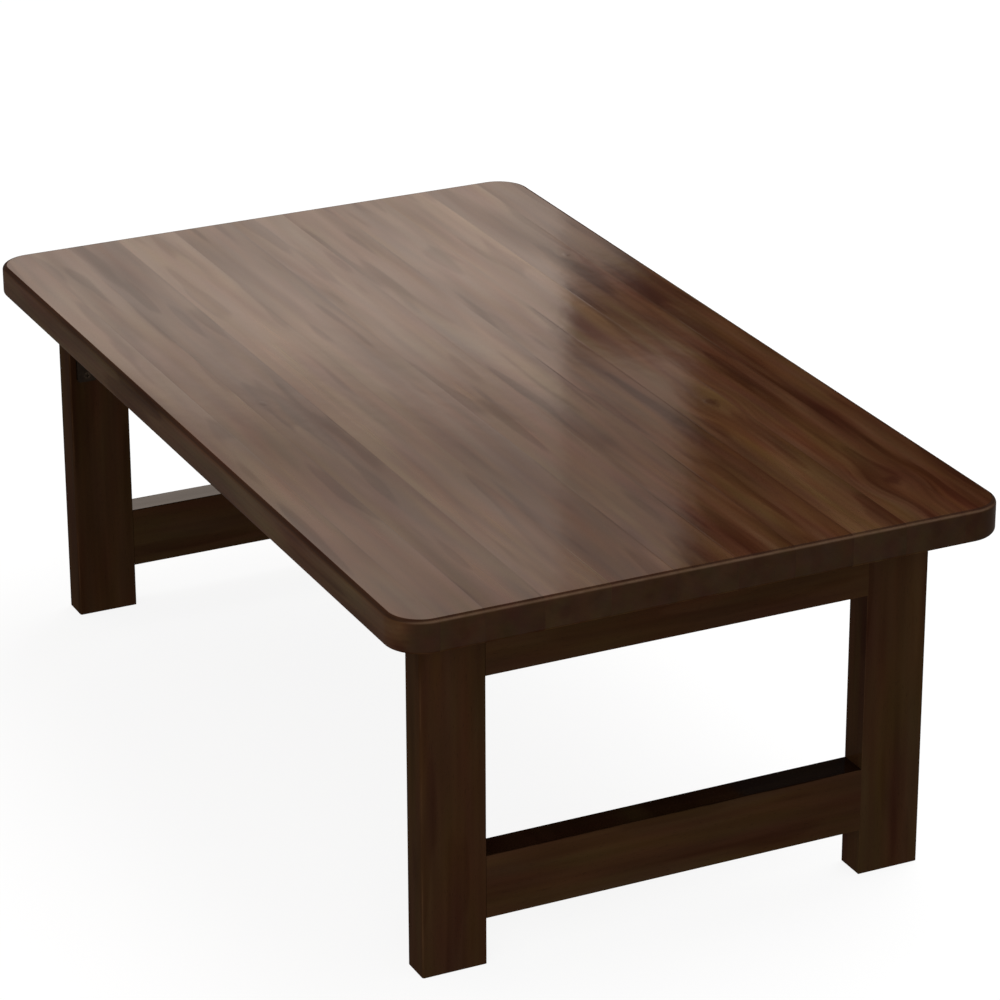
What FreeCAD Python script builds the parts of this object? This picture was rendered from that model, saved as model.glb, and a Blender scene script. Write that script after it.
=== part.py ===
import FreeCAD, Part
import math
import os

# Folding low table: a rounded rectangular top on two end frames that fold inward under it.
# Sizes are millimetres. The origin lies on the floor under the centre of the top.
# X runs along the table, Y across it and Z up. The +X end is the right one, the -X end
# the left one, the -Y side the front and the +Y side the back.
# Pieces are made for the right back corner and mirrored to the other corners.

# Tabletop
top_length = 846.0
top_width = 500.0
top_thickness = 26.5
table_height = 315.0
top_corner_radius = 29.0
top_edge_round = 4.0
under_edge_round = 4.0

# End frames
frame_end_inset = 51.0
frame_side_inset = 38.0
frame_thickness = 26.0
leg_width = 52.5
leg_arris_round = 2.0
leg_joint_arris_round = 0.6
foot_arris_round = 0.4
rail_arris_round = 1.2
top_rail_height = 52.0
stretcher_height = 52.5
stretcher_floor_gap = 38.0

# Dowels, two in each joint of a frame
dowel_radius = 4.0
dowel_length = 40.0
dowel_end_round = 1.0
dowel_spacing = 26.0
dowel_hole_spare = 0.8

# Battens screwed across the underside, a little shorter than the rails beside them
batten_width = 45.0
batten_thickness = 12.0
batten_arris_round = 1.5
batten_rail_gap = 0.5
batten_end_gap = 2.5
batten_inner_screw_share = 0.6

# Butt hinges, two for each frame
hinge_length = 60.0
hinge_end_inset = 19.5
hinge_leaf_width = 25.0
hinge_leaf_thickness = 2.0
hinge_corner_radius = 3.0
hinge_knuckle_radius = 3.2
hinge_knuckle_count = 5
hinge_pin_radius = 1.6
hinge_pin_head_radius = 2.6
hinge_pin_head_height = 1.0
hinge_screw_shares = (-0.34, 0.0, 0.34)

# Folding stays, one behind each leg
stay_plane_inset = 31.0
stay_table_pivot_reach = 75.0
stay_table_pivot_drop = 10.0
stay_leg_pivot_reach = 9.0
stay_leg_pivot_drop = 55.0
link_half_width = 6.0
link_thickness = 2.0
link_arris = 0.3

# Stay brackets, of bent plate
bracket_thickness = 2.0
bracket_length = 28.0
bracket_flange_width = 18.0
bracket_ear_radius = 6.5
bracket_corner_radius = 3.0
bracket_screw_share = 0.6

# Rivets of the stays
rivet_radius = 2.0
rivet_head_radius = 4.0
rivet_head_height = 1.2
rivet_head_round = 0.9
rivet_flare = 1.0

# Wood screws
batten_screw_radius = 2.0
batten_screw_head_radius = 4.0
batten_screw_head_height = 2.2
batten_screw_length = 25.0
small_screw_radius = 1.5
small_screw_head_radius = 3.0
small_screw_head_height = 1.6
small_screw_length = 10.0
screw_tip_share = 0.3
screw_recess_share = 0.6
screw_slot_share = 0.2

# Clearances and the overrun of every cut
running_gap = 0.3
fit_gap = 0.05
overrun = 1.0

# Tests of direction and place
parallel_share = 0.999
same_place_share = 0.001

x_axis = FreeCAD.Vector(1, 0, 0)
y_axis = FreeCAD.Vector(0, 1, 0)
z_axis = FreeCAD.Vector(0, 0, 1)
origin = FreeCAD.Vector(0, 0, 0)

# Places of the frames
underside = table_height - top_thickness
frame_outer_x = top_length / 2 - frame_end_inset
frame_inner_x = frame_outer_x - frame_thickness
frame_middle_x = frame_inner_x + frame_thickness / 2
leg_outer_y = top_width / 2 - frame_side_inset
leg_inner_y = leg_outer_y - leg_width
top_rail_middle_z = underside - top_rail_height / 2
stretcher_middle_z = stretcher_floor_gap + stretcher_height / 2

# Places of the battens and the fold axis: the hinge barrel clears the batten's lower face
# and the rail's inner face by the running gap.
batten_half_length = leg_inner_y - batten_end_gap
batten_outer_x = frame_inner_x - batten_rail_gap
batten_middle_x = batten_outer_x - batten_width / 2
batten_bottom_z = underside - batten_thickness
hinge_axis_offset = hinge_knuckle_radius + running_gap
fold_x = frame_inner_x - hinge_axis_offset
fold_z = batten_bottom_z - hinge_axis_offset
hinge_screw_reach = (hinge_leaf_width + hinge_axis_offset) / 2
hinge_outer_y = leg_inner_y - hinge_end_inset
hinge_inner_y = hinge_outer_y - hinge_length
hinge_middle_y = hinge_outer_y - hinge_length / 2

# Places of the stays, from the inside outward along Y: table ear, short link, long link, leg ear.
table_ear_y = leg_outer_y - stay_plane_inset
short_link_y = table_ear_y + bracket_thickness + running_gap
long_link_y = short_link_y + link_thickness + running_gap
leg_ear_y = long_link_y + link_thickness + running_gap
leg_ear_outer_y = leg_ear_y + bracket_thickness
rivet_grip = bracket_thickness + running_gap + link_thickness
table_pivot_x = fold_x - stay_table_pivot_reach
table_pivot_z = underside - stay_table_pivot_drop
leg_pivot_x = frame_inner_x - stay_leg_pivot_reach
leg_pivot_z = underside - stay_leg_pivot_drop

# The leg's pivot swings a quarter turn about the fold axis. The two links are in line at
# both ends of that swing: end to end when the frame stands, doubled back when it lies flat.
folded_pivot_x = fold_x + (leg_pivot_z - fold_z)
folded_pivot_z = fold_z - (leg_pivot_x - fold_x)
open_span = math.hypot(leg_pivot_x - table_pivot_x, leg_pivot_z - table_pivot_z)
folded_span = math.hypot(folded_pivot_x - table_pivot_x, folded_pivot_z - table_pivot_z)
long_link_length = (open_span + folded_span) / 2
short_link_length = (open_span - folded_span) / 2
stay_slope = math.atan2(table_pivot_z - leg_pivot_z, leg_pivot_x - table_pivot_x)
elbow_x = table_pivot_x + short_link_length * math.cos(stay_slope)
elbow_z = table_pivot_z - short_link_length * math.sin(stay_slope)


def point(x, y, z):
    return FreeCAD.Vector(x, y, z)


def box_between(low, high):
    size = high - low
    return Part.makeBox(size.x, size.y, size.z, low)


def rod_between(start, end, radius):
    along = end - start
    return Part.makeCylinder(radius, along.Length, start, along)


def edges_along(shape, axis):
    """The straight edges of a shape that run along an axis."""
    chosen = []
    for edge in shape.Edges:
        heading = edge.tangentAt(edge.FirstParameter)
        if abs(heading.dot(axis)) > parallel_share:
            chosen.append(edge)
    return chosen


def those_at(edges, axis, place):
    """Of some edges, those whose middle lies at a place along an axis."""
    tolerance = same_place_share * top_thickness
    return [edge for edge in edges if abs(edge.CenterOfMass.dot(axis) - place) < tolerance]


def edges_at(shape, axis, place):
    return those_at(shape.Edges, axis, place)


def aimed(shape, place, direction):
    """A copy of a shape made along +Z from the origin, set at a place to point another way."""
    copy = shape.copy()
    copy.Placement = FreeCAD.Placement(place, FreeCAD.Rotation(z_axis, direction))
    return copy


def mirrored_to(shapes, end, side):
    """Copies of shapes made for the right back corner, at the corner that end and side name."""
    copies = []
    for shape in shapes:
        copy = shape.copy()
        if end == "left":
            copy = copy.mirror(origin, x_axis)
        if side == "front":
            copy = copy.mirror(origin, y_axis)
        copies.append(copy)
    return copies


def on_both_sides(shapes, end):
    return mirrored_to(shapes, end, "front") + mirrored_to(shapes, end, "back")


def at_all_corners(shapes):
    return on_both_sides(shapes, "left") + on_both_sides(shapes, "right")


def save(name, solids):
    """Write a node: one solid, or a group of separate solids."""
    shape = solids[0] if len(solids) == 1 else Part.makeCompound(solids)
    shape.exportStep("parts/" + name + ".step")


# Wood screws, made along +Z with the flat of the head at the origin

def screw_body(radius, head_radius, head_height, length):
    tip_length = screw_tip_share * length
    shank_length = length - head_height - tip_length
    head = Part.makeCone(head_radius, radius, head_height)
    shank = Part.makeCylinder(radius, shank_length, z_axis * head_height)
    tip = Part.makeCone(radius, 0, tip_length, z_axis * (length - tip_length))
    return head.multiFuse([shank, tip]).removeSplitter()


def screw(radius, head_radius, head_height, length):
    """A countersunk screw with a cross recess."""
    reach = screw_recess_share * head_radius
    half_slot = screw_slot_share * head_radius
    depth = screw_recess_share * head_height
    across = box_between(point(-reach, -half_slot, -overrun), point(reach, half_slot, depth))
    along = box_between(point(-half_slot, -reach, -overrun), point(half_slot, reach, depth))
    return screw_body(radius, head_radius, head_height, length).cut([across, along])


def screw_hole(radius, head_radius, head_height, length):
    """What a screw needs cut away: its own form with clearance, and a way in."""
    body = screw_body(radius + fit_gap, head_radius + fit_gap, head_height, length + fit_gap)
    way_in = Part.makeCylinder(head_radius + fit_gap, overrun, z_axis * -overrun)
    return body.fuse(way_in)


batten_screw_sizes = (
    batten_screw_radius, batten_screw_head_radius, batten_screw_head_height, batten_screw_length,
)
small_screw_sizes = (
    small_screw_radius, small_screw_head_radius, small_screw_head_height, small_screw_length,
)


def fastened(maker, sizes, places, direction):
    """Screws or screw holes at several places, all pointing one way."""
    pattern = maker(*sizes)
    return [aimed(pattern, place, direction) for place in places]


def batten_screw_places():
    """One screw between the hinges and one past the hinge."""
    inner = batten_inner_screw_share * hinge_inner_y
    outer = (hinge_outer_y + batten_half_length) / 2
    return [point(batten_middle_x, across, batten_bottom_z) for across in (inner, outer)]


def table_leaf_screw_places():
    face_z = batten_bottom_z - hinge_leaf_thickness
    places = []
    for share in hinge_screw_shares:
        across = hinge_middle_y + share * hinge_length
        places.append(point(fold_x - hinge_screw_reach, across, face_z))
    return places


def frame_leaf_screw_places():
    face_x = frame_inner_x - hinge_leaf_thickness
    places = []
    for share in hinge_screw_shares:
        across = hinge_middle_y + share * hinge_length
        places.append(point(face_x, across, fold_z - hinge_screw_reach))
    return places


def table_bracket_screw_places():
    face_z = underside - bracket_thickness
    across = table_ear_y + bracket_thickness - bracket_flange_width / 2
    reach = bracket_screw_share * bracket_length / 2
    return [point(table_pivot_x + step, across, face_z) for step in (-reach, reach)]


def leg_bracket_screw_places():
    face_x = frame_inner_x - bracket_thickness
    across = leg_ear_y + bracket_flange_width / 2
    reach = bracket_screw_share * bracket_length / 2
    return [point(face_x, across, leg_pivot_z + step) for step in (-reach, reach)]


# Tabletop and battens

def tabletop():
    low = point(-top_length / 2, -top_width / 2, underside)
    high = point(top_length / 2, top_width / 2, table_height)
    blank = box_between(low, high)
    board = blank.makeFillet(top_corner_radius, edges_along(blank, z_axis))
    board = board.makeFillet(top_edge_round, edges_at(board, z_axis, table_height))
    board = board.makeFillet(under_edge_round, edges_at(board, z_axis, underside))
    holes = fastened(screw_hole, batten_screw_sizes, batten_screw_places(), z_axis)
    holes += fastened(screw_hole, small_screw_sizes, table_bracket_screw_places(), z_axis)
    return board.cut(at_all_corners(holes))


def batten():
    low = point(batten_outer_x - batten_width, -batten_half_length, batten_bottom_z)
    high = point(batten_outer_x, batten_half_length, underside)
    blank = box_between(low, high)
    board = blank.makeFillet(batten_arris_round, edges_at(blank, z_axis, batten_bottom_z))
    holes = fastened(screw_hole, batten_screw_sizes, batten_screw_places(), z_axis)
    holes += fastened(screw_hole, small_screw_sizes, table_leaf_screw_places(), z_axis)
    return board.cut(on_both_sides(holes, "right"))


# End frames

def dowel_places(middle_z):
    half = dowel_spacing / 2
    return [point(frame_middle_x, leg_inner_y, middle_z + step) for step in (-half, half)]


def dowel_holes(middle_z):
    """Bores on both sides of a joint between a leg and a rail."""
    half = y_axis * (dowel_length / 2 + dowel_hole_spare)
    radius = dowel_radius + fit_gap
    return [rod_between(place - half, place + half, radius) for place in dowel_places(middle_z)]


def dowels(middle_z):
    half = y_axis * (dowel_length / 2)
    pins = []
    for place in dowel_places(middle_z):
        pin = rod_between(place - half, place + half, dowel_radius)
        ends = edges_at(pin, y_axis, leg_inner_y - dowel_length / 2)
        ends += edges_at(pin, y_axis, leg_inner_y + dowel_length / 2)
        pins.append(pin.makeChamfer(dowel_end_round, ends))
    return pins


def leg():
    low = point(frame_inner_x, leg_inner_y, 0)
    high = point(frame_outer_x, leg_outer_y, underside)
    blank = box_between(low, high)
    outer_arrises = those_at(edges_along(blank, z_axis), y_axis, leg_outer_y)
    post = blank.makeFillet(leg_arris_round, outer_arrises)
    joint_arrises = those_at(edges_along(post, z_axis), y_axis, leg_inner_y)
    post = post.makeFillet(leg_joint_arris_round, joint_arrises)
    post = post.makeFillet(foot_arris_round, edges_at(post, z_axis, 0))
    screw_holes = fastened(screw_hole, small_screw_sizes, leg_bracket_screw_places(), x_axis)
    return post.cut(dowel_holes(top_rail_middle_z) + dowel_holes(stretcher_middle_z) + screw_holes)


def cross_rail(middle_z, height):
    """A rail between the two legs of a frame, as thick as they are."""
    low = point(frame_inner_x, -leg_inner_y, middle_z - height / 2)
    high = point(frame_outer_x, leg_inner_y, middle_z + height / 2)
    blank = box_between(low, high)
    rail = blank.makeFillet(rail_arris_round, edges_along(blank, y_axis))
    return rail.cut(on_both_sides(dowel_holes(middle_z), "right"))


def top_rail():
    rail = cross_rail(top_rail_middle_z, top_rail_height)
    holes = fastened(screw_hole, small_screw_sizes, frame_leaf_screw_places(), x_axis)
    return rail.cut(on_both_sides(holes, "right"))


def stretcher():
    return cross_rail(stretcher_middle_z, stretcher_height)


# Butt hinges, made about the Y axis at the origin with the plate towards -X

def knuckle_span(number):
    length = hinge_length / hinge_knuckle_count
    start = number * length - hinge_length / 2
    return start, start + length


def hinge_plate():
    low = point(-hinge_leaf_width, -hinge_length / 2, hinge_axis_offset - hinge_leaf_thickness)
    high = point(0, hinge_length / 2, hinge_axis_offset)
    blank = box_between(low, high)
    far_corners = []
    for edge in edges_along(blank, z_axis):
        if edge.CenterOfMass.x < -hinge_axis_offset:
            far_corners.append(edge)
    return blank.makeFillet(hinge_corner_radius, far_corners)


def hinge_leaf(own_knuckles):
    """A leaf with its own knuckles, notched where the other leaf's knuckles turn."""
    leaf = hinge_plate()
    for number in range(hinge_knuckle_count):
        start, end = knuckle_span(number)
        if number in own_knuckles:
            inset = running_gap / 2
            barrel = rod_between(y_axis * (start + inset), y_axis * (end - inset), hinge_knuckle_radius)
            leaf = leaf.fuse(barrel)
        else:
            low = point(-hinge_axis_offset, start - running_gap / 2, -overrun)
            high = point(overrun, end + running_gap / 2, hinge_axis_offset + overrun)
            leaf = leaf.cut(box_between(low, high))
    half = y_axis * (hinge_length / 2 + overrun)
    return leaf.cut(rod_between(-half, half, hinge_pin_radius + fit_gap)).removeSplitter()


def at_fold_axis(shape):
    shape.translate(point(fold_x, hinge_middle_y, fold_z))
    return shape


def table_leaf():
    leaf = at_fold_axis(hinge_leaf(range(0, hinge_knuckle_count, 2)))
    return leaf.cut(fastened(screw_hole, small_screw_sizes, table_leaf_screw_places(), z_axis))


def frame_leaf():
    """The other leaf stands against the rail: X and Z change places."""
    leaf = hinge_leaf(range(1, hinge_knuckle_count, 2)).mirror(origin, x_axis - z_axis)
    leaf = at_fold_axis(leaf)
    return leaf.cut(fastened(screw_hole, small_screw_sizes, frame_leaf_screw_places(), x_axis))


def hinge_pin():
    """A pin with a small head at each end."""
    half = hinge_length / 2 + fit_gap
    outer = half + hinge_pin_head_height
    pin = rod_between(y_axis * -half, y_axis * half, hinge_pin_radius)
    for sign in (-1, 1):
        head = rod_between(y_axis * (sign * half), y_axis * (sign * outer), hinge_pin_head_radius)
        rim = edges_at(head, y_axis, sign * outer)
        pin = pin.fuse(head.makeFillet(hinge_pin_head_height / 2, rim))
    return at_fold_axis(pin.removeSplitter())


# Folding stays

def rivet(length, flared):
    """A rivet along +Z from the underside of its head, flared at the far end where it is set flush."""
    head = Part.makeCylinder(rivet_head_radius, rivet_head_height, z_axis * -rivet_head_height)
    head = head.makeFillet(rivet_head_round, edges_at(head, z_axis, -rivet_head_height))
    body = head.fuse(Part.makeCylinder(rivet_radius, length))
    if flared:
        body = body.fuse(rivet_tail(length, 0))
    return body.removeSplitter()


def rivet_tail(length, clearance):
    """The flare of a rivet that is set flush."""
    narrow = rivet_radius + clearance
    wide = rivet_radius + rivet_flare + clearance
    return Part.makeCone(narrow, wide, rivet_flare, z_axis * (length - rivet_flare))


def rivet_hole(length, flared):
    radius = rivet_radius + fit_gap
    hole = Part.makeCylinder(radius, length + overrun * 2, z_axis * -overrun)
    if flared:
        way_out = Part.makeCylinder(radius + rivet_flare, overrun, z_axis * length)
        hole = hole.multiFuse([rivet_tail(length, fit_gap), way_out])
    return hole


def at_table_pivot(shape):
    return aimed(shape, point(table_pivot_x, table_ear_y, table_pivot_z), y_axis)


def at_leg_pivot(shape):
    return aimed(shape, point(leg_pivot_x, leg_ear_outer_y, leg_pivot_z), -y_axis)


def at_elbow_inside(shape):
    return aimed(shape, point(elbow_x, short_link_y, elbow_z), y_axis)


def at_elbow_outside(shape):
    return aimed(shape, point(elbow_x, long_link_y + link_thickness, elbow_z), -y_axis)


def flat_link(start_x, start_z, start_y, length):
    """A flat bar with round ends between two pivots, along the slope of the open stay."""
    along = point(math.cos(stay_slope), 0, -math.sin(stay_slope))
    beside = along.cross(y_axis) * link_half_width
    near = point(start_x, start_y, start_z)
    far = near + along * length
    outline = [
        Part.Arc(near + beside, near - along * link_half_width, near - beside),
        Part.LineSegment(near - beside, far - beside),
        Part.Arc(far - beside, far + along * link_half_width, far + beside),
        Part.LineSegment(far + beside, near + beside),
    ]
    wire = Part.Wire([curve.toShape() for curve in outline])
    bar = Part.Face(wire).extrude(y_axis * link_thickness)
    rims = edges_at(bar, y_axis, start_y) + edges_at(bar, y_axis, start_y + link_thickness)
    return bar.makeChamfer(link_arris, rims)


def short_link():
    bar = flat_link(table_pivot_x, table_pivot_z, short_link_y, short_link_length)
    pivot_hole = at_table_pivot(rivet_hole(rivet_grip, True))
    elbow_hole = at_elbow_inside(rivet_hole(link_thickness, False))
    return bar.cut([pivot_hole, elbow_hole])


def long_link():
    bar = flat_link(elbow_x, elbow_z, long_link_y, long_link_length)
    pivot_hole = at_leg_pivot(rivet_hole(rivet_grip, True))
    elbow_hole = at_elbow_outside(rivet_hole(link_thickness, False))
    return bar.cut([pivot_hole, elbow_hole])


def bracket_flange(low, high, normal):
    """A flange with its four corners rounded, seen along its normal."""
    blank = box_between(low, high)
    return blank.makeFillet(bracket_corner_radius, edges_along(blank, normal))


def table_bracket():
    """An angle bracket under the top: a flange for two screws and an ear that hangs down."""
    outer_y = table_ear_y + bracket_thickness
    half = bracket_length / 2
    low = point(table_pivot_x - half, outer_y - bracket_flange_width, underside - bracket_thickness)
    high = point(table_pivot_x + half, outer_y, underside)
    flange = bracket_flange(low, high, z_axis)
    web_low = point(table_pivot_x - bracket_ear_radius, table_ear_y, table_pivot_z)
    web_high = point(table_pivot_x + bracket_ear_radius, outer_y, underside)
    web = box_between(web_low, web_high)
    eye_start = point(table_pivot_x, table_ear_y, table_pivot_z)
    eye = rod_between(eye_start, eye_start + y_axis * bracket_thickness, bracket_ear_radius)
    holes = fastened(screw_hole, small_screw_sizes, table_bracket_screw_places(), z_axis)
    holes.append(at_table_pivot(rivet_hole(rivet_grip, False)))
    return flange.multiFuse([web, eye]).removeSplitter().cut(holes)


def leg_bracket():
    """An angle bracket on the leg: a flange for two screws and an ear that stands inward."""
    half = bracket_length / 2
    low = point(frame_inner_x - bracket_thickness, leg_ear_y, leg_pivot_z - half)
    high = point(frame_inner_x, leg_ear_y + bracket_flange_width, leg_pivot_z + half)
    flange = bracket_flange(low, high, x_axis)
    web_low = point(leg_pivot_x, leg_ear_y, leg_pivot_z - bracket_ear_radius)
    web_high = point(frame_inner_x, leg_ear_outer_y, leg_pivot_z + bracket_ear_radius)
    web = box_between(web_low, web_high)
    eye_start = point(leg_pivot_x, leg_ear_y, leg_pivot_z)
    eye = rod_between(eye_start, eye_start + y_axis * bracket_thickness, bracket_ear_radius)
    holes = fastened(screw_hole, small_screw_sizes, leg_bracket_screw_places(), x_axis)
    holes.append(at_leg_pivot(rivet_hole(rivet_grip, False)))
    return flange.multiFuse([web, eye]).removeSplitter().cut(holes)


def save_top():
    save("tabletop", [tabletop()])
    for end in ("left", "right"):
        save(end + "_batten", mirrored_to([batten()], end, "back"))
    batten_screws = fastened(screw, batten_screw_sizes, batten_screw_places(), z_axis)
    save("batten_screws", at_all_corners(batten_screws))
    leaf_screws = fastened(screw, small_screw_sizes, table_leaf_screw_places(), z_axis)
    save("table_leaf_screws", at_all_corners(leaf_screws))
    bracket_screws = fastened(screw, small_screw_sizes, table_bracket_screw_places(), z_axis)
    save("table_bracket_screws", at_all_corners(bracket_screws))
    save("table_bracket_rivets", at_all_corners([at_table_pivot(rivet(rivet_grip, True))]))


def save_corner(end, side):
    """The pieces that each corner of the table has."""
    corner = end + "_" + side + "_"
    pieces = {
        "leg": leg(),
        "hinge_table_leaf": table_leaf(),
        "hinge_frame_leaf": frame_leaf(),
        "table_bracket": table_bracket(),
        "leg_bracket": leg_bracket(),
        "short_link": short_link(),
        "long_link": long_link(),
        "elbow_rivet_inner_half": at_elbow_inside(rivet(link_thickness, False)),
        "elbow_rivet_outer_half": at_elbow_outside(rivet(link_thickness, False)),
    }
    for name, piece in pieces.items():
        save(corner + name, mirrored_to([piece], end, side))


def save_frame(end):
    """The pieces that each frame has once, and its grouped fasteners."""
    frame = end + "_frame_"
    save(end + "_top_rail", mirrored_to([top_rail()], end, "back"))
    save(end + "_stretcher", mirrored_to([stretcher()], end, "back"))
    pegs = dowels(top_rail_middle_z) + dowels(stretcher_middle_z)
    save(frame + "dowels", on_both_sides(pegs, end))
    save(end + "_hinge_pins", on_both_sides([hinge_pin()], end))
    leaf_screws = fastened(screw, small_screw_sizes, frame_leaf_screw_places(), x_axis)
    save(end + "_frame_leaf_screws", on_both_sides(leaf_screws, end))
    bracket_screws = fastened(screw, small_screw_sizes, leg_bracket_screw_places(), x_axis)
    save(end + "_leg_bracket_screws", on_both_sides(bracket_screws, end))
    save(end + "_leg_bracket_rivets", on_both_sides([at_leg_pivot(rivet(rivet_grip, True))], end))


os.makedirs("parts", exist_ok=True)
save_top()
for end_name in ("left", "right"):
    save_frame(end_name)
    for side_name in ("front", "back"):
        save_corner(end_name, side_name)
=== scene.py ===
import math

import bpy
from mathutils import Matrix, Vector


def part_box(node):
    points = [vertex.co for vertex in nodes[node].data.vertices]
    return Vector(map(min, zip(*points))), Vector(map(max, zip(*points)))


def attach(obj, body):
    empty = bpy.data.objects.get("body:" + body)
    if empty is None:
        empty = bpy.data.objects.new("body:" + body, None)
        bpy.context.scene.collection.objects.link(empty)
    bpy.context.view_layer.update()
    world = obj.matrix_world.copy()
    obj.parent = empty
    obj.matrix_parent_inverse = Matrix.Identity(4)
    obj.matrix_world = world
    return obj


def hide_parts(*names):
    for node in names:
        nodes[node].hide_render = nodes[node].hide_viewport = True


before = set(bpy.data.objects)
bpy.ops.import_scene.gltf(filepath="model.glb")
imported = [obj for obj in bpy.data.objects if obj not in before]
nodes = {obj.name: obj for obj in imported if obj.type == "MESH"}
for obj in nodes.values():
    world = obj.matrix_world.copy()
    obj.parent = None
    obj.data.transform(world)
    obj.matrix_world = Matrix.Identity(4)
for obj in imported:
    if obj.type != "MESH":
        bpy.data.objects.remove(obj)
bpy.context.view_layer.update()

# Camera of the photograph, in metres and degrees

camera_place = Vector((2.82172, -1.32925, 1.53066))
camera_yaw = math.radians(64.25)
camera_pitch = math.radians(23.06)
camera_roll = math.radians(-0.15)
camera_lens = 149.84
camera_sensor = 36.0

# Tabletop, in metres

top_half_width = 0.25
top_corner_radius = 0.029
top_edge_round = 0.004
corner_steps = 28
round_steps = 8
quarter_turn = math.radians(90)

# Floor and lamps, in metres and watts

floor_half_width = 20.0
floor_colour = (0.15, 0.15, 0.15, 1.0)
floor_glow = 0.88
floor_bounce = 0.45
lamps = {
    "main_softbox": {
        "place": Vector((-0.5, 1.1, 2.5)), "aim": Vector((0.0, 0.0, 0.3)), "size": 2.4, "power": 64.0,
    },
    "corner_softbox": {
        "place": Vector((1.2, -0.6, 0.42)), "aim": Vector((0.3, -0.1, 0.16)), "size": 0.7, "power": 2.8,
    },
}

# The world is a soft studio: azimuths are counted from +X towards +Y, all in degrees

zenith = 90.0
low_band_top = 8.0
low_band_softness = 1.5
low_band_level = 1.0
low_band_light = 0.22
fill_levels = ((8.0, 0.24), (14.0, 0.28), (24.0, 0.70), (34.0, 0.82), (46.0, 0.60), (90.0, 0.40))
dark_level = 0.012
dark_light = {"start": 84.0, "side_softness": 14.0, "top": 46.5, "top_softness": 8.5}
dark_board = {"start": 138.0, "side_softness": 1.0, "top": 34.0, "top_softness": 1.0}
panel_start = 153.27
panel_start_softness = 0.15
panel_end = 236.0
panel_end_softness = 16.0
panel_levels = (
    (8.0, 1.20), (19.2, 1.36), (20.3, 1.62), (21.1, 1.44), (21.8, 1.04), (22.25, 0.70), (22.75, 0.80),
    (23.5, 1.08), (24.2, 1.00), (25.5, 0.74), (34.0, 0.42), (90.0, 0.20),
)
panel_tint = (1.0, 0.85, 0.735, 1.0)
panel_middle = 195.0
step_start = 151.5
step_start_softness = 0.3
step_low = 21.08
step_low_softness = 0.12
step_level = 0.58
glow_azimuth = 153.1
glow_elevation = 19.1
glow_half_width = 1.35
glow_half_height = 1.25
glow_level = 0.64


def srgb(red, green, blue):
    """A colour as it shows on a screen, 0 to 255, as scene-linear RGBA."""
    channels = []
    for level in (red, green, blue):
        share = level / 255
        low = share / 12.92
        high = ((share + 0.055) / 1.055) ** 2.4
        channels.append(low if share <= 0.04045 else high)
    return (*channels, 1.0)


# Noises drawn out along the grain: length and width in metres, step of the seed, detail, roughness

noises = {
    "sway": (0.42, 0.11, 0.0, 1.0, 0.5),
    "broad": (0.45, 0.040, 1.0, 2.0, 0.5),
    "medium": (0.13, 0.013, 2.0, 1.2, 0.5),
    "ring_drift": (0.9, 0.05, 3.0, 1.0, 0.5),
    "narrow": (0.06, 0.0045, 4.0, 2.0, 0.5),
    "fibre": (0.018, 0.0009, 5.0, 2.0, 0.6),
    "hue": (0.11, 0.016, 6.0, 1.0, 0.5),
    "pores": (0.006, 0.0005, 7.0, 1.0, 0.5),
    "worn": (0.05, 0.012, 8.0, 3.0, 0.5),
    "ripple": (0.020, 0.012, 9.0, 1.0, 0.5),
    "thin_gloss": (0.13, 0.013, 10.0, 0.8, 0.5),
    "wide_gloss": (0.26, 0.028, 11.0, 0.5, 0.5),
    "patches": (0.15, 0.018, 12.0, 1.0, 0.5),
    "knot_edge": (0.009, 0.005, 0.0, 1.0, 0.5),
    "bare_grain": (0.03, 0.003, 1.0, 2.0, 0.5),
    "bare_flecks": (0.003, 0.0006, 2.0, 2.0, 0.5),
    "clouds": (0.012, 0.012, 0.0, 4.0, 0.6),
    "long_scratches": (0.02, 0.00035, 2.0, 1.0, 0.5),
    "cross_scratches": (0.012, 0.0003, 3.0, 1.0, 0.5),
}
seed_turn = (1.0, 1.7, 0.6)
noise_middle = (0.5, 0.5, 0.5)
noise_colour = 1

# Figure of the wood: the share of each part in its darkness, colour, relief and gloss

wood_sway = 0.012
bare_sway = 0.004
figure_weights = {
    "broad": 0.66, "medium": 0.53, "narrow": 0.13, "fibre": 0.06,
    "rings": -0.04, "tone": 0.18, "patches": -0.13,
}
figure_offset = -0.265
figure_middle = 0.5
wood_stops = (
    (0.0, srgb(42, 17, 8)),
    (0.28, srgb(63, 33, 18)),
    (0.52, srgb(84, 53, 33)),
    (0.76, srgb(101, 71, 47)),
    (1.0, srgb(118, 91, 66)),
)
hue_swing = (0.36, 0.52, 0.62)
patch_limits = (0.56, 0.64)
pore_limits = (0.66, 0.74)
worn_limits = (0.40, 0.62)
pore_share = 0.35
pore_colour = srgb(26, 14, 10)
line_share = 0.34
line_share_on_ends = 0.10
line_colour = srgb(34, 18, 12)
knot_share = 0.62
knot_colour = srgb(54, 24, 14)
roughness_weights = {"fibre": 0.16, "medium": 0.12, "pale_arris": 0.10}
roughness_base = 0.30
relief_weights = {"fibre": 1.0, "pores": -0.9, "narrow": 0.5}
relief_depth = 0.00003
ripple_weights = {"ripple": 1.0, "eyes": 0.6, "lines": -0.3}
ripple_depth = 0.000016
gloss_weights = {"thin_gloss": 0.28, "wide_gloss": 0.40, "tone": 0.06, "patches": -0.08}
gloss_base = 0.50
coat_roughness = 0.06

# Stain and painted shade: how dark each side is, by the upward part of the piece's own normal. The
# darker end grain is the stain's own; the other differences between level faces and sides, and the
# sides' tint, are painted shade

end_grain_share = 0.54
end_grain_contrast = 0.3
side_shade_tint = (0.96, 1.07, 1.0)
shade_and_stain_turn = (0.25, 0.92)
level_face = (0.998, 0.9999)
sheen_turn = (-0.6, -0.2)

# Arrises: box-shaped pieces worn pale in places; on the tabletop a painted highlight, patchy like wear,
# on the upper side of its end arrises, and a painted dark line of shade along its long upper arrises

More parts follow.
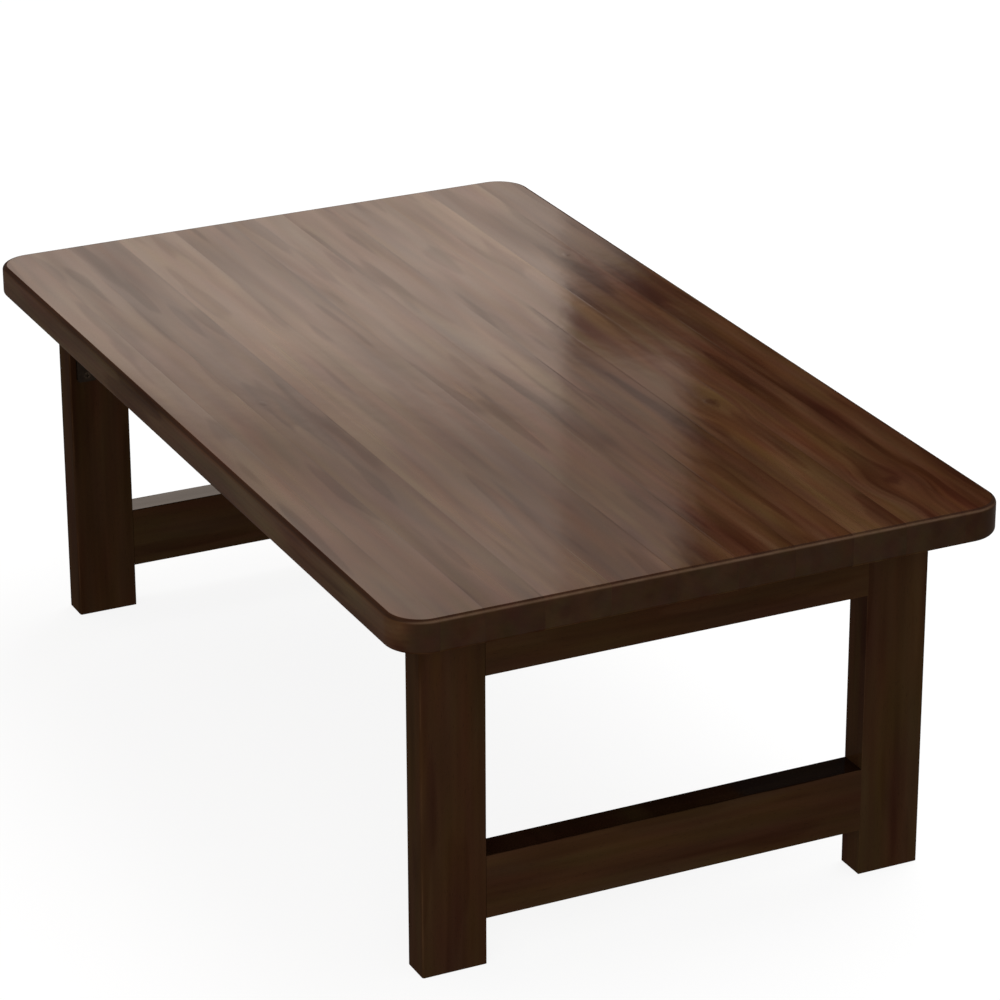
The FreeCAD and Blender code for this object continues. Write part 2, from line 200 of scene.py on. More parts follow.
box_arris_limits = (0.97, 0.75)
level_arris_limits = (0.9, 0.2)
end_grain_limits = (0.55, 0.9)
end_arris_limits = (0.42, 0.82)
end_arris_upward = (0.0, 0.3)
shade_line_from = (0.35, 0.65)
shade_line_to = (0.9996, 0.99)
box_wear_share = 0.34
box_wear_colour = srgb(92, 65, 44)
unworn_end_highlight = 0.7
end_highlight_and_wear_share = 0.74
end_highlight_and_wear_colour = srgb(99, 79, 63)
long_arris_shade_share = 0.72
long_arris_shade_colour = srgb(36, 22, 15)

# Year rings

ring_spacing = 0.0046
ring_drift = 2.6
ring_rise = (0.15, 0.75)
ring_fall = (0.78, 1.0)

# Knots: place along and across the grain, then length and width, in metres. Limits are in knot sizes

top_knots = (
    (0.347, 0.193, 0.010, 0.007),
    (0.145, 0.147, 0.011, 0.006),
    (-0.213, 0.199, 0.004, 0.003),
    (-0.008, -0.172, 0.005, 0.003),
)
knot_edge_share = 0.9
knot_eye_limits = (1.75, 0.75)
knot_bend_limits = (5.5, 0.8)
knot_bend = 0.62

# Glued staves of the tabletop, by their edges across it, in metres

top_staves = (-0.219, -0.184, -0.138, -0.085, -0.032, 0.018, 0.066, 0.114, 0.160, 0.210)
stave_shift = (9.0, 4.0, 2.0)
plain_tone = 0.5
glue_line_limits = (0.0006, 0.0001)

# Bare wood of the dowels

beech_stops = ((0.0, srgb(176, 132, 92)), (1.0, srgb(214, 176, 134)))
bare_weights = {"bare_grain": 0.7, "bare_flecks": 0.3}
bare_limits = (0.3, 0.7)
bare_roughness = (0.55, 0.75)
bare_relief_depth = 0.00005

# Steel

crystal_scale = 900.0
long_scratch_limits = (0.62, 0.72)
cross_scratch_limits = (0.64, 0.74)
steel_shade_weights = {"clouds": 0.7, "cell": 0.18, "scratches": 0.14, "arris": 0.22}
steel_shade_limits = (0.25, 0.85)
steel_roughness_weights = {"clouds": 0.30, "cell": 0.06, "scratches": -0.10, "arris": -0.08}
steel_relief_weights = {"scratches": -1.0, "clouds": 0.6}
steel_relief_depth = 0.00001


# Shader graphs

def add(tree, kind, inputs=None, **settings):
    """A new shader node. Each input is a value, or a socket to join to it."""
    node = tree.nodes.new(kind)
    for name, value in settings.items():
        setattr(node, name, value)
    for key, value in (inputs or {}).items():
        if isinstance(value, bpy.types.NodeSocket):
            tree.links.new(value, node.inputs[key])
        else:
            node.inputs[key].default_value = value
    return node


def sum_up(tree, operation, *values, clamp=False):
    """The result of one Math node."""
    numbered = dict(enumerate(values))
    return add(tree, "ShaderNodeMath", numbered, operation=operation, use_clamp=clamp).outputs[0]


def vector_sum(tree, operation, *values, output=0):
    """The result of one Vector Math node."""
    numbered = dict(enumerate(values))
    return add(tree, "ShaderNodeVectorMath", numbered, operation=operation).outputs[output]


def scaled(tree, vector, factor):
    """A vector times a number."""
    inputs = {0: vector, "Scale": factor}
    return add(tree, "ShaderNodeVectorMath", inputs, operation="SCALE").outputs[0]


def split(tree, vector):
    """The three parts of a vector."""
    return add(tree, "ShaderNodeSeparateXYZ", {0: vector}).outputs


def ramp_between(tree, value, low, high, start=0.0, end=1.0, smooth=False):
    """Value, mapped so that low gives start and high gives end, and held outside them."""
    kind = "SMOOTHSTEP" if smooth else "LINEAR"
    inputs = {"Value": value, "From Min": low, "From Max": high, "To Min": start, "To Max": end}
    return add(tree, "ShaderNodeMapRange", inputs, interpolation_type=kind, clamp=True).outputs[0]


def blend(tree, share, first, second):
    """First where share is 0, and second where it is 1."""
    return ramp_between(tree, share, 0.0, 1.0, first, second)


def blend_colours(tree, share, first, second, kind="MIX"):
    """One Mix node between two colours."""
    inputs = {0: share, 6: first, 7: second}
    return add(tree, "ShaderNodeMix", inputs, data_type="RGBA", blend_type=kind).outputs[2]


def colour_ramp(tree, value, stops, steps=False):
    """A Color Ramp node with stops of (place, colour)."""
    node = add(tree, "ShaderNodeValToRGB", {0: value})
    node.color_ramp.interpolation = "CONSTANT" if steps else "LINEAR"
    elements = node.color_ramp.elements
    while len(elements) > 1:
        elements.remove(elements[-1])
    elements[0].position, elements[0].color = stops[0]
    for place, colour in stops[1:]:
        elements.new(place).color = colour
    return node.outputs[0]


def weighted_sum(tree, parts, weights):
    """The sum of the parts that are named in weights, each times its weight."""
    total = 0.0
    for name, weight in weights.items():
        total = sum_up(tree, "MULTIPLY_ADD", parts[name], weight, total)
    return total


def relief(tree, height, depth):
    """The normal of a surface with small relief, in metres."""
    inputs = {"Strength": 1.0, "Distance": depth, "Height": height}
    return add(tree, "ShaderNodeBump", inputs).outputs[0]


def new_material(name):
    material = bpy.data.materials.new(name)
    material.use_nodes = True
    material.node_tree.nodes.clear()
    return material, material.node_tree


def finish_surface(tree, shader):
    add(tree, "ShaderNodeOutputMaterial", {"Surface": shader})


# Grain

def object_place(tree):
    return add(tree, "ShaderNodeTexCoord").outputs["Object"]


def own_normal(tree):
    return add(tree, "ShaderNodeTexCoord").outputs["Normal"]


def grain_place(tree, along):
    """The place on a piece, with the grain along the first axis."""
    parts = split(tree, object_place(tree))
    order = {"X": (0, 1, 2), "Y": (1, 0, 2), "Z": (2, 0, 1)}[along]
    turned = {axis: parts[source] for axis, source in enumerate(order)}
    return add(tree, "ShaderNodeCombineXYZ", turned).outputs[0]


def streaks(tree, place, name, seed, output=0):
    """One of the noises drawn out along the grain."""
    length, width, seed_step, detail, roughness = noises[name]
    own_seed = seed + seed_step
    inputs = {
        "Vector": place,
        "Location": tuple(own_seed * share for share in seed_turn),
        "Scale": (1 / length, 1 / width, 1 / width),
    }
    drawn = add(tree, "ShaderNodeMapping", inputs).outputs[0]
    noise = {"Vector": drawn, "Scale": 1.0, "Detail": detail, "Roughness": roughness}
    return add(tree, "ShaderNodeTexNoise", noise).outputs[output]


def wandering(tree, place, seed, sway):
    """The same place, moved a little across the grain, so that the grain lines sway."""
    drift = streaks(tree, place, "sway", seed, noise_colour)
    centred = vector_sum(tree, "SUBTRACT", drift, noise_middle)
    return vector_sum(tree, "MULTIPLY_ADD", centred, (0.0, sway, sway), place)


def growth_rings(tree, place, pith, seed):
    """Year rings about a pith line along the grain: 1 in the dark late wood."""
    offset = vector_sum(tree, "SUBTRACT", place, (0.0, pith[0], pith[1]))
    across = vector_sum(tree, "MULTIPLY", offset, (0.0, 1.0, 1.0))
    parts = {
        "distance": vector_sum(tree, "LENGTH", across, output="Value"),
        "uneven": streaks(tree, place, "ring_drift", seed),
    }
    turns = weighted_sum(tree, parts, {"distance": 1 / ring_spacing, "uneven": ring_drift})
    part = sum_up(tree, "FRACT", turns)
    rise = ramp_between(tree, part, *ring_rise, smooth=True)
    fall = ramp_between(tree, part, *ring_fall, 1.0, 0.0, smooth=True)
    return sum_up(tree, "MULTIPLY", rise, fall)


def knot_field(tree, place, knots):
    """Bends the grain round knots. Gives the bent place and a mask of the knots' eyes."""
    eyes = 0.0
    for along, across, length, width in knots:
        gap = vector_sum(tree, "SUBTRACT", place, (along, across, 0.0))
        local = vector_sum(tree, "MULTIPLY", gap, (1 / length, 1 / width, 0.0))
        reach = vector_sum(tree, "LENGTH", local, output="Value")
        ragged = streaks(tree, place, "knot_edge", along)
        rough_edge = sum_up(tree, "MULTIPLY_ADD", ragged, knot_edge_share, reach)
        eye = ramp_between(tree, rough_edge, *knot_eye_limits, smooth=True)
        eyes = sum_up(tree, "MAXIMUM", eye, eyes)
        near = ramp_between(tree, reach, *knot_bend_limits, 0.0, knot_bend, smooth=True)
        push = scaled(tree, gap, near)
        place = vector_sum(tree, "MULTIPLY_ADD", push, (0.0, -1.0, 0.0), place)
    return place, eyes


def stave_number(tree, place, edges):
    """Which stave of the edge-glued board a place is on, as a grey level."""
    across = split(tree, place)[1]
    share = ramp_between(tree, across, -top_half_width, top_half_width)
    stops = [(0.0, (0.0, 0.0, 0.0, 1.0))]
    for number, edge in enumerate(edges, 1):
        level = number / len(edges)
        stops.append(((edge + top_half_width) / (2 * top_half_width), (level, level, level, 1.0)))
    return colour_ramp(tree, share, stops, steps=True)


def glue_lines(tree, place, edges):
    """1 on the thin glue lines between staves."""
    across = split(tree, place)[1]
    lines = 0.0
    for edge in edges:
        away = sum_up(tree, "ABSOLUTE", sum_up(tree, "SUBTRACT", across, edge))
        lines = sum_up(tree, "MAXIMUM", ramp_between(tree, away, *glue_line_limits), lines)
    return lines


# Sides and arrises, from the piece's own normal

def arris_mask(tree, box_shaped):
    """1 on the rounded arrises of a piece and 0 on its flat faces."""
    size = vector_sum(tree, "ABSOLUTE", own_normal(tree))
    parts = split(tree, size)
    if box_shaped:
        sides = sum_up(tree, "MAXIMUM", parts[0], parts[1])
        flatness = sum_up(tree, "MAXIMUM", sides, parts[2])
        return ramp_between(tree, flatness, *box_arris_limits, smooth=True)
    squared = sum_up(tree, "MULTIPLY", parts[2], parts[2])
    away = sum_up(tree, "ABSOLUTE", sum_up(tree, "MULTIPLY_ADD", squared, 2.0, -1.0))
    return ramp_between(tree, away, *level_arris_limits, smooth=True)


def end_grain_mask(tree, along):
    """1 where the normal runs along the grain."""
    heading = split(tree, own_normal(tree))["XYZ".index(along)]
    return ramp_between(tree, sum_up(tree, "ABSOLUTE", heading), *end_grain_limits, smooth=True)


def end_share(tree, along):
    """1 on arrises at the ends of the grain and 0 on those along it, on their upper side only."""
    parts = split(tree, own_normal(tree))
    heading = sum_up(tree, "ABSOLUTE", parts["XYZ".index(along)])
    ends = ramp_between(tree, heading, *end_arris_limits, smooth=True)
    return sum_up(tree, "MULTIPLY", ends, ramp_between(tree, parts[2], *end_arris_upward))


def upward_share(tree, limits):
    """0 where the upward part of the normal is at the first limit, and 1 where it is at the second."""
    upward = split(tree, own_normal(tree))[2]
    return ramp_between(tree, upward, *limits, smooth=True)


# Stained wood

def wood_parts(tree, along, seed, pith, knots, staves):
    """Every part of the wood's figure, by name."""
    plain = grain_place(tree, along)
    bent, eyes = knot_field(tree, plain, knots)
    parts = {"eyes": eyes, "tone": plain_tone, "lines": 0.0}
    if staves:
        number = stave_number(tree, plain, staves)
        tone = add(tree, "ShaderNodeTexWhiteNoise", {"W": number}, noise_dimensions="1D")
        parts["tone"] = tone.outputs["Value"]
        parts["lines"] = glue_lines(tree, plain, staves)
        bent = vector_sum(tree, "MULTIPLY_ADD", number, stave_shift, bent)
    place = wandering(tree, bent, seed, wood_sway)
    for name in ("broad", "medium", "narrow", "fibre", "thin_gloss", "wide_gloss"):
        parts[name] = streaks(tree, place, name, seed)
    parts["hue"] = streaks(tree, place, "hue", seed, noise_colour)
    parts["rings"] = growth_rings(tree, place, pith, seed)
    parts["ripple"] = streaks(tree, plain, "ripple", seed)
    patches = streaks(tree, place, "patches", seed)
    parts["patches"] = ramp_between(tree, patches, *patch_limits, smooth=True)
    parts["pores"] = ramp_between(tree, streaks(tree, place, "pores", seed), *pore_limits)
    parts["worn"] = ramp_between(tree, streaks(tree, plain, "worn", seed), *worn_limits)
    parts["end_grain"] = end_grain_mask(tree, along)
    return parts


def covered(tree, under, mask, share, colour):
    """A colour laid over another where mask is 1, as far as share says."""
    return blend_colours(tree, sum_up(tree, "MULTIPLY", mask, share), under, colour)


def bare_figure(tree, parts, contrast):
    """The colour of the wood before its stain."""
    figure = sum_up(tree, "ADD", weighted_sum(tree, parts, figure_weights), figure_offset)
    swing = blend(tree, parts["end_grain"], contrast, contrast * end_grain_contrast)
    centred = sum_up(tree, "SUBTRACT", figure, figure_middle)
    toned = colour_ramp(tree, sum_up(tree, "MULTIPLY_ADD", centred, swing, figure_middle), wood_stops)
    level = tuple(1.0 - share / 2 for share in hue_swing)
    tint = vector_sum(tree, "MULTIPLY_ADD", parts["hue"], hue_swing, level)
    tinted = blend_colours(tree, 1.0, toned, tint, "MULTIPLY")
    with_pores = covered(tree, tinted, parts["pores"], pore_share, pore_colour)
    own_line_share = blend(tree, parts["end_grain"], line_share, line_share_on_ends)
    with_lines = covered(tree, with_pores, parts["lines"], own_line_share, line_colour)
    return covered(tree, with_lines, parts["eyes"], knot_share, knot_colour)


def stained(tree, colour, end_grain, level_shade_and_stain, side_shade_and_stain):
    """The colour under its stain, darkest on the end grain. Level faces and sides each get their own
    darkness, and the sides a tint: that split is painted shade, as on the rails' level faces, darkest
    under the tabletop.
    """
    soaked_and_shaded = blend(tree, end_grain, side_shade_and_stain, side_shade_and_stain * end_grain_share)
    side_shade_and_stain_factor = scaled(tree, side_shade_tint, soaked_and_shaded)
    level_shade_and_stain_factor = (level_shade_and_stain, level_shade_and_stain, level_shade_and_stain, 1.0)
    # Painted shade: level faces and sides are darkened by their own amounts, apart from the stain
    stain = blend_colours(tree, upward_share(tree, shade_and_stain_turn), side_shade_and_stain_factor, level_shade_and_stain_factor)
    return blend_colours(tree, 1.0, colour, stain, "MULTIPLY")


def rubbed_arrises(tree, colour, worn):
    """Arrises of a box-shaped piece, rubbed pale in places by wear. Gives the colour and the mask of
    its pale arrises.
    """
    pale_arris = sum_up(tree, "MULTIPLY", arris_mask(tree, True), worn)
    return covered(tree, colour, pale_arris, box_wear_share, box_wear_colour), pale_arris


def board_arrises(tree, colour, worn, along):
    """Arrises of the tabletop: a painted dark line of shade along it, and a painted highlight, patchy
    like wear, on the upper side of its end arrises. Gives the colour and the mask of its pale arrises.
    """
    ends = end_share(tree, along)
    end_arris = sum_up(tree, "MULTIPLY", arris_mask(tree, False), ends)
    # Painted shade: a dark line on the upper round of the long arrises
    rounded = sum_up(tree, "MULTIPLY", upward_share(tree, shade_line_from), upward_share(tree, shade_line_to))
    long_arris = sum_up(tree, "SUBTRACT", rounded, ends, clamp=True)
    # Painted highlight on the upper side of the end arrises, patchy like wear
    pale_arris = sum_up(tree, "MULTIPLY", end_arris, blend(tree, worn, unworn_end_highlight, 1.0))
    shaded_long_arris = covered(tree, colour, long_arris, long_arris_shade_share, long_arris_shade_colour)
    return covered(tree, shaded_long_arris, pale_arris, end_highlight_and_wear_share, end_highlight_and_wear_colour), pale_arris


def lacquer_cover(tree, parts, coat, side_coat):
    """How much lacquer shows its gloss: most on level faces, little on sides and none underneath."""
    side_sheen = blend(tree, upward_share(tree, sheen_turn), 0.0, side_coat)
    sheen = blend(tree, upward_share(tree, level_face), side_sheen, coat)
    gloss = weighted_sum(tree, parts, gloss_weights)
    return sum_up(tree, "MULTIPLY", sheen, sum_up(tree, "ADD", gloss, gloss_base, clamp=True))


def stained_wood(
    name, along, seed, pith, knots=(), staves=(), box_shaped=True, contrast=1.0, level_shade_and_stain=1.0,
    side_shade_and_stain=1.0, coat=1.0, side_coat=0.05, coat_ior=1.5,
):
    """Dark stained and lacquered softwood, with painted shade in how dark its level faces and sides
    are. The lacquer is glossy on top and thin on the sides.
    """
    material, tree = new_material(name)
    parts = wood_parts(tree, along, seed, pith, knots, staves)
    figure = bare_figure(tree, parts, contrast)
    colour = stained(tree, figure, parts["end_grain"], level_shade_and_stain, side_shade_and_stain)
    if box_shaped:
        base, pale_arris = rubbed_arrises(tree, colour, parts["worn"])
    else:
        base, pale_arris = board_arrises(tree, colour, parts["worn"], along)
    parts["pale_arris"] = pale_arris
    roughness = weighted_sum(tree, parts, roughness_weights)
    shader = add(tree, "ShaderNodeBsdfPrincipled", {
        "Base Color": base,
        "Roughness": sum_up(tree, "ADD", roughness, roughness_base),
        "Specular IOR Level": 0.0,
        "Normal": relief(tree, weighted_sum(tree, parts, relief_weights), relief_depth),
        "Coat Weight": lacquer_cover(tree, parts, coat, side_coat),
        "Coat Roughness": coat_roughness,
        "Coat IOR": coat_ior,
        "Coat Normal": relief(tree, weighted_sum(tree, parts, ripple_weights), ripple_depth),
    })
    finish_surface(tree, shader.outputs[0])
    return material


def bare_wood(name, along, seed, stops):
    """Unfinished hardwood, as on the dowels."""
    material, tree = new_material(name)
    place = wandering(tree, grain_place(tree, along), seed, bare_sway)
    parts = {part: streaks(tree, place, part, seed) for part in bare_weights}
    flecks = parts["bare_flecks"]
    figure = weighted_sum(tree, parts, bare_weights)
    shader = add(tree, "ShaderNodeBsdfPrincipled", {
        "Base Color": colour_ramp(tree, ramp_between(tree, figure, *bare_limits), stops),
        "Roughness": ramp_between(tree, flecks, *bare_limits, *bare_roughness),
        "Normal": relief(tree, flecks, bare_relief_depth),
    })
    finish_surface(tree, shader.outputs[0])
    return material


# Metal

def steel_parts(tree, seed):
    """Clouds, crystals, scratches and arrises of rolled steel, by name."""
    place = object_place(tree)
    crystals = {"Vector": place, "Scale": crystal_scale}
    spangle = add(tree, "ShaderNodeTexVoronoi", crystals, feature="F1").outputs["Color"]
    lengthwise = streaks(tree, place, "long_scratches", seed)
    crosswise = streaks(tree, grain_place(tree, "Z"), "cross_scratches", seed)
    long_scratches = ramp_between(tree, lengthwise, *long_scratch_limits)
    cross_scratches = ramp_between(tree, crosswise, *cross_scratch_limits)
    return {
        "clouds": streaks(tree, place, "clouds", seed),
        "cell": add(tree, "ShaderNodeSeparateColor", {0: spangle}).outputs[0],
        "scratches": sum_up(tree, "MAXIMUM", long_scratches, cross_scratches),
        "arris": arris_mask(tree, True),
    }


def darkened_steel(name, seed, dull, bright, rough):
    """Steel darkened to an old bronze: cloudy, finely scratched, and rubbed bright on its arrises."""
    material, tree = new_material(name)
    parts = steel_parts(tree, seed)
    shade = ramp_between(tree, weighted_sum(tree, parts, steel_shade_weights), *steel_shade_limits)
    roughness = weighted_sum(tree, parts, steel_roughness_weights)
    shader = add(tree, "ShaderNodeBsdfPrincipled", {
        "Base Color": colour_ramp(tree, shade, ((0.0, dull), (1.0, bright))),
        "Metallic": 1.0,
        "Roughness": sum_up(tree, "ADD", roughness, rough),
        "Normal": relief(tree, weighted_sum(tree, parts, steel_relief_weights), steel_relief_depth),
    })
    finish_surface(tree, shader.outputs[0])
    return material


# Finish of every piece

top_wood = stained_wood(
    "top_wood", along="X", seed=11.0, pith=(0.0, -1.6), knots=top_knots, staves=top_staves,
    box_shaped=False, level_shade_and_stain=0.75, side_shade_and_stain=0.70, side_coat=0.08)
# Painted shade: the legs and rails are darker than the tabletop, for where they stand under it, and the
# rails' level faces are darkest of all
leg_wood = stained_wood(
    "leg_wood", along="Z", seed=23.0, pith=(0.0, 0.35), contrast=0.55,
    level_shade_and_stain=0.46, side_shade_and_stain=0.46, coat=0.8, side_coat=0.02)
rail_wood = stained_wood(
    "rail_wood", along="Y", seed=37.0, pith=(0.0, -0.30), contrast=0.55,
    level_shade_and_stain=0.12, side_shade_and_stain=0.44, side_coat=0.01, coat_ior=1.9)
batten_wood = stained_wood(
    "batten_wood", along="Y", seed=53.0, pith=(0.02, 0.6), contrast=0.7,
    level_shade_and_stain=0.68, side_shade_and_stain=0.68, coat=0.4)
dowel_wood = bare_wood("dowel_wood", along="Y", seed=5.0, stops=beech_stops)
plate_steel = darkened_steel(
    "plate_steel", seed=3.0, dull=srgb(24, 18, 14), bright=srgb(44, 35, 27), rough=0.34)
fastener_steel = darkened_steel(
    "fastener_steel", seed=7.0, dull=srgb(34, 27, 21), bright=srgb(70, 57, 45), rough=0.28)


def finish_of(name):
    """The material of a CAD node, by its name."""
    if name.endswith("_leg"):
        return leg_wood
    if name.endswith(("_top_rail", "_stretcher")):
        return rail_wood
    if name.endswith("_batten"):
        return batten_wood
    if name.endswith("_dowels"):
        return dowel_wood
    if name.endswith(("_leaf", "_bracket", "_link")):
        return plate_steel
    return top_wood if name == "tabletop" else fastener_steel


def dress_nodes():
    for name, node in nodes.items():
        node.data.materials.clear()
        node.data.materials.append(finish_of(name))


# Tabletop, with finer rounds than the CAD mesh

def plan_outline(half_length, half_width, radius):
    """Points and outward directions round a rectangle with rounded corners."""
    outline = []
    for corner in range(4):
        sign_x = 1 if corner in (0, 3) else -1
        sign_y = 1 if corner in (0, 1) else -1
        middle = Vector((sign_x * (half_length - radius), sign_y * (half_width - radius)))
        for step in range(corner_steps + 1):
            angle = quarter_turn * (corner + step / corner_steps)
            outward = Vector((math.cos(angle), math.sin(angle)))
            outline.append((middle + outward * radius, outward))
    return outline


def edge_profile(low, high):
    """Inset, height and tilt of the board's edge, from its underside to its top."""
    profile = []
    for step in range(round_steps + 1):
        tilt = quarter_turn * (step / round_steps - 1)
        inset = top_edge_round * (1 - math.cos(tilt))
        profile.append((inset, low + top_edge_round * (1 + math.sin(tilt)), tilt))
    for step in range(round_steps + 1):
        tilt = quarter_turn * step / round_steps
        inset = top_edge_round * (1 - math.cos(tilt))
        profile.append((inset, high - top_edge_round * (1 - math.sin(tilt)), tilt))
    return profile


def ring_faces(rings, count):
    """Faces of a closed shape made of rings of count points each, from the lowest ring up."""
    faces = [tuple(reversed(range(count)))]
    for row in range(rings - 1):
        for column in range(count):
            after = (column + 1) % count
            start = row * count
            faces.append((start + column, start + after, start + count + after, start + count + column))
    faces.append(tuple(range(count * (rings - 1), count * rings)))
    return faces


def make_tabletop():
    low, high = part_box("tabletop")
    outline = plan_outline(high.x, high.y, top_corner_radius)
    profile = edge_profile(low.z, high.z)
    points = []
    normals = []
    for inset, height, tilt in profile:
        for place, outward in outline:
            moved = place - outward * inset
            points.append((moved.x, moved.y, height))
            flat = outward * math.cos(tilt)
            normals.append((flat.x, flat.y, math.sin(tilt)))
    faces = ring_faces(len(profile), len(outline))
    mesh = bpy.data.meshes.new("lacquered_top")
    mesh.from_pydata(points, [], faces)
    mesh.polygons.foreach_set("use_smooth", [True] * len(faces))
    mesh.normals_split_custom_set_from_vertices(normals)
    mesh.materials.append(top_wood)
    board = bpy.data.objects.new("lacquered_top", mesh)
    bpy.context.scene.collection.objects.link(board)
    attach(board, "table")
    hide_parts("tabletop")


# Room, light and camera

def seen_share(tree):
    """1 for rays from the camera, from gloss and through glass."""
    path = add(tree, "ShaderNodeLightPath").outputs
    gloss = sum_up(tree, "MAXIMUM", path["Is Glossy Ray"], path["Is Transmission Ray"])
    return sum_up(tree, "MAXIMUM", path["Is Camera Ray"], gloss)


def pale_floor():
    """A pale floor that renders white in the open, keeps shadows, and is clear from below."""
    reach = floor_half_width
    mesh = bpy.data.meshes.new("floor")
    corners = [(-reach, -reach, 0.0), (reach, -reach, 0.0), (reach, reach, 0.0), (-reach, reach, 0.0)]
    mesh.from_pydata(corners, [], [(0, 1, 2, 3)])
    material, tree = new_material("floor")
    paint = add(tree, "ShaderNodeBsdfDiffuse", {"Color": floor_colour}).outputs[0]
    strength = blend(tree, seen_share(tree), floor_bounce, floor_glow)
    glow = add(tree, "ShaderNodeEmission", {"Strength": strength}).outputs[0]
    surface = add(tree, "ShaderNodeAddShader", {0: paint, 1: glow}).outputs[0]
    below = add(tree, "ShaderNodeNewGeometry").outputs["Backfacing"]
    clear = add(tree, "ShaderNodeBsdfTransparent").outputs[0]
    finish_surface(tree, add(tree, "ShaderNodeMixShader", {0: below, 1: surface, 2: clear}).outputs[0])
    mesh.materials.append(material)
    floor = bpy.data.objects.new("floor", mesh)
    bpy.context.scene.collection.objects.link(floor)


def elevation_ramp(tree, elevation, levels):
    """Brightness by elevation, straight between the levels given."""
    stops = [(angle / zenith, (level, level, level, 1.0)) for angle, level in levels]
    return colour_ramp(tree, sum_up(tree, "DIVIDE", elevation, zenith), stops)


def soft_step(tree, angle, edge, softness):
    """0 below an angle and 1 above it, with a soft edge."""
    return ramp_between(tree, angle, edge - softness, edge + softness, smooth=True)


def soft_end(tree, angle, edge, softness):
    """1 below an angle and 0 above it, with a soft edge."""
    return ramp_between(tree, angle, edge + softness, edge - softness, smooth=True)


def panel_glow(tree, azimuth, elevation):
    """The panel's light, spilled round the low end of its edge."""
    beside = sum_up(tree, "ADD", azimuth, panel_middle - glow_azimuth)
    above = sum_up(tree, "SUBTRACT", elevation, glow_elevation)
    across = sum_up(tree, "DIVIDE", beside, glow_half_width)
    along = sum_up(tree, "DIVIDE", above, glow_half_height)
    squares = sum_up(tree, "MULTIPLY_ADD", across, across, sum_up(tree, "MULTIPLY", along, along))
    return ramp_between(tree, squares, 1.0, 0.0, 0.0, glow_level, smooth=True)


def panel_cover(tree, azimuth, elevation):
    """How much of the panel's light comes from a direction: panel, dim step beside it, and spill."""
    entering = soft_step(tree, azimuth, panel_start - panel_middle, panel_start_softness)
    leaving = soft_end(tree, azimuth, panel_end - panel_middle, panel_end_softness)
    panel = sum_up(tree, "MULTIPLY", entering, leaving)
    beside = soft_step(tree, azimuth, step_start - panel_middle, step_start_softness)
    raised = soft_step(tree, elevation, step_low, step_low_softness)
    step = sum_up(tree, "MULTIPLY", sum_up(tree, "MULTIPLY", beside, raised), step_level)
    dim_step = sum_up(tree, "MULTIPLY", step, leaving)
    spilled = sum_up(tree, "MAXIMUM", dim_step, panel_glow(tree, azimuth, elevation))
    return sum_up(tree, "MAXIMUM", panel, spilled)


def dark_part(tree, azimuth, elevation, start, side_softness, top, top_softness):
    """1 in the dark part beside the panel's start, from an azimuth on and up to an elevation."""
    beside = soft_step(tree, azimuth, start - panel_middle, side_softness)
    before_panel = sum_up(tree, "LESS_THAN", azimuth, 0.0)
    low_enough = soft_end(tree, elevation, top, top_softness)
    return sum_up(tree, "MULTIPLY", sum_up(tree, "MULTIPLY", beside, before_panel), low_enough)


def sky_angles(tree):
    """The azimuth from the panel's middle and the elevation of a direction, in degrees."""
    direction = add(tree, "ShaderNodeTexCoord").outputs["Generated"]
    turn = {"Vector": direction, "Angle": math.radians(-panel_middle)}
    parts = split(tree, add(tree, "ShaderNodeVectorRotate", turn, rotation_type="Z_AXIS").outputs[0])
    azimuth = sum_up(tree, "DEGREES", sum_up(tree, "ARCTAN2", parts[1], parts[0]))
    elevation = sum_up(tree, "DEGREES", sum_up(tree, "ARCSINE", parts[2]))
    return azimuth, elevation


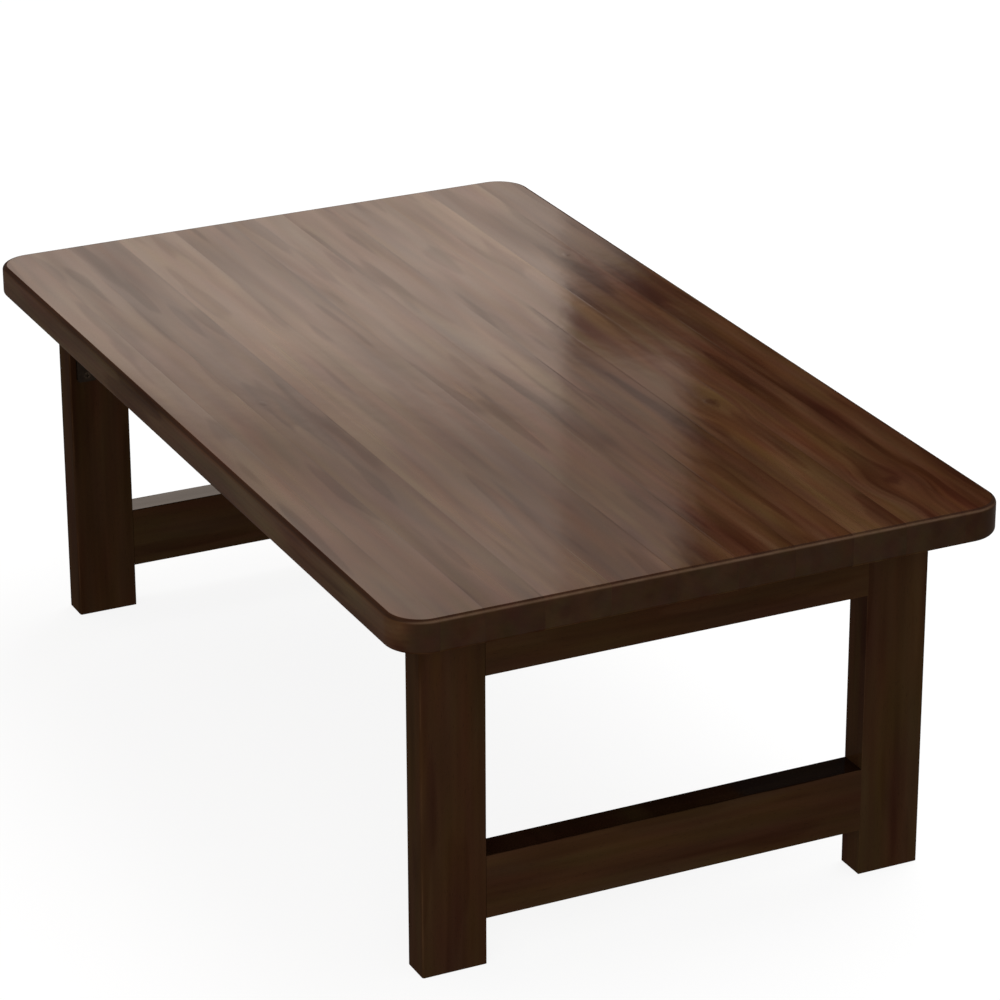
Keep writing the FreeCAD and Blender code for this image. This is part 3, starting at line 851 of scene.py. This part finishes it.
def studio_world():
    """A soft studio: a large bright panel on one side, shade beside it, and plain fill elsewhere."""
    world = bpy.data.worlds.new("studio")
    world.use_nodes = True
    tree = world.node_tree
    tree.nodes.clear()
    azimuth, elevation = sky_angles(tree)
    seen = seen_share(tree)
    shade = dark_part(tree, azimuth, elevation, **dark_light)
    board = dark_part(tree, azimuth, elevation, **dark_board)
    fill = elevation_ramp(tree, elevation, fill_levels)
    dark = (dark_level, dark_level, dark_level, 1.0)
    shaded = blend_colours(tree, blend(tree, seen, shade, board), fill, dark)
    panel_light = elevation_ramp(tree, elevation, panel_levels)
    panel = blend_colours(tree, 1.0, panel_light, panel_tint, "MULTIPLY")
    above = blend_colours(tree, panel_cover(tree, azimuth, elevation), shaded, panel)
    band_share = soft_end(tree, elevation, low_band_top, low_band_softness)
    band = blend(tree, seen, low_band_light, low_band_level)
    colour = blend_colours(tree, band_share, above, band)
    background = add(tree, "ShaderNodeBackground", {"Color": colour, "Strength": 1.0}).outputs[0]
    add(tree, "ShaderNodeOutputWorld", {"Surface": background})
    bpy.context.scene.world = world


def soft_lamp(name, place, aim, size, power):
    """A square softbox that lights the object and is left out of its reflections."""
    light = bpy.data.lights.new(name, "AREA")
    light.shape = "SQUARE"
    light.size = size
    light.energy = power
    lamp = bpy.data.objects.new(name, light)
    lamp.visible_glossy = False
    lamp.location = place
    lamp.rotation_mode = "QUATERNION"
    lamp.rotation_quaternion = (aim - place).to_track_quat("-Z", "Y")
    bpy.context.scene.collection.objects.link(lamp)


def photo_camera():
    data = bpy.data.cameras.new("camera")
    data.lens = camera_lens
    data.sensor_width = camera_sensor
    level = math.cos(camera_pitch)
    back = Vector((math.sin(camera_yaw) * level, -math.cos(camera_yaw) * level, math.sin(camera_pitch)))
    right = Vector((math.cos(camera_yaw), math.sin(camera_yaw), 0.0))
    up = back.cross(right)
    rolled_right = right * math.cos(camera_roll) + up * math.sin(camera_roll)
    rolled_up = up * math.cos(camera_roll) - right * math.sin(camera_roll)
    camera = bpy.data.objects.new("camera", data)
    turn = Matrix((rolled_right, rolled_up, back)).transposed()
    camera.matrix_world = Matrix.Translation(camera_place) @ turn.to_4x4()
    bpy.context.scene.collection.objects.link(camera)
    bpy.context.scene.camera = camera


photo_camera()
pale_floor()
studio_world()
for lamp_name, lamp_settings in lamps.items():
    soft_lamp(lamp_name, **lamp_settings)
dress_nodes()
make_tabletop()
bpy.context.scene.view_settings.view_transform = "Standard"
